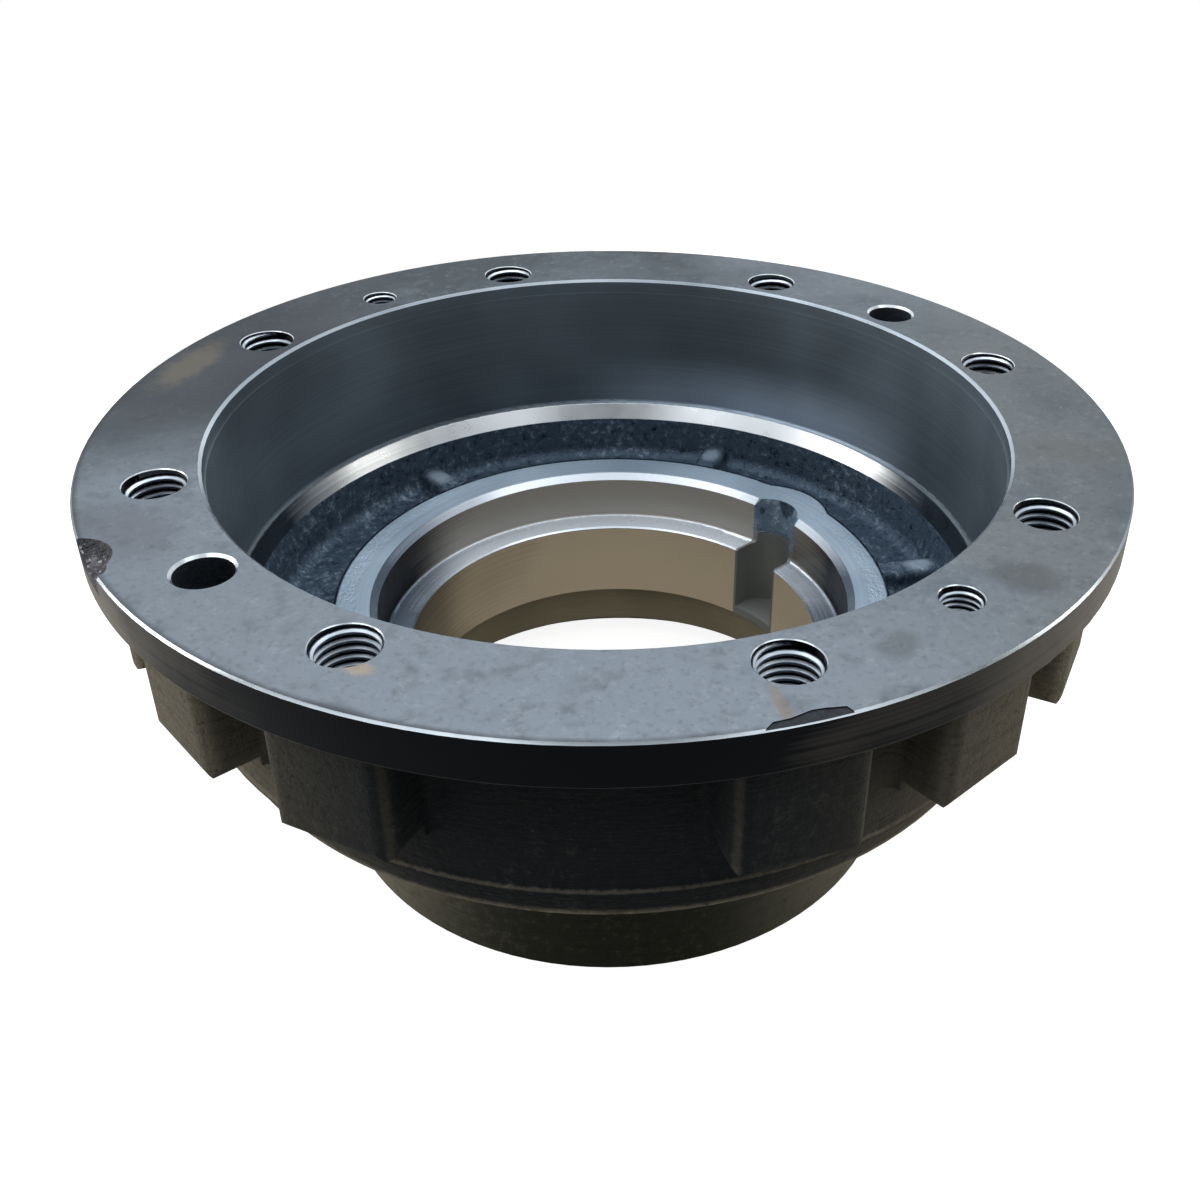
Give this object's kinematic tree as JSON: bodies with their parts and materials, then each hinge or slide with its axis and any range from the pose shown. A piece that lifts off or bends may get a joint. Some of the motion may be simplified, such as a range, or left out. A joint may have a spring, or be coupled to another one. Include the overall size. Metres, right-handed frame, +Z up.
{
  "type": "wheel hub",
  "caption": "Cast wheel hub: wide drilled and tapped bolting face over a deep machined cup, raised bearing boss with a race-pulling slot, and a short neck below.",
  "frame": {"origin": "centre of the neck's lower end face, on the hub's axis", "axes": "+Z up along the hub's axis, from the neck to the bolting face; +X through the dowel hole on the side of the race-pulling slot"},
  "size_m": [0.32, 0.32, 0.1424],
  "materials": {
    "hub_iron": "as-cast skin with ground, turned and drilled faces"
  },
  "bodies": {
    "root": {"wheel_hub": "hub_iron"}
  },
  "joints": []
}
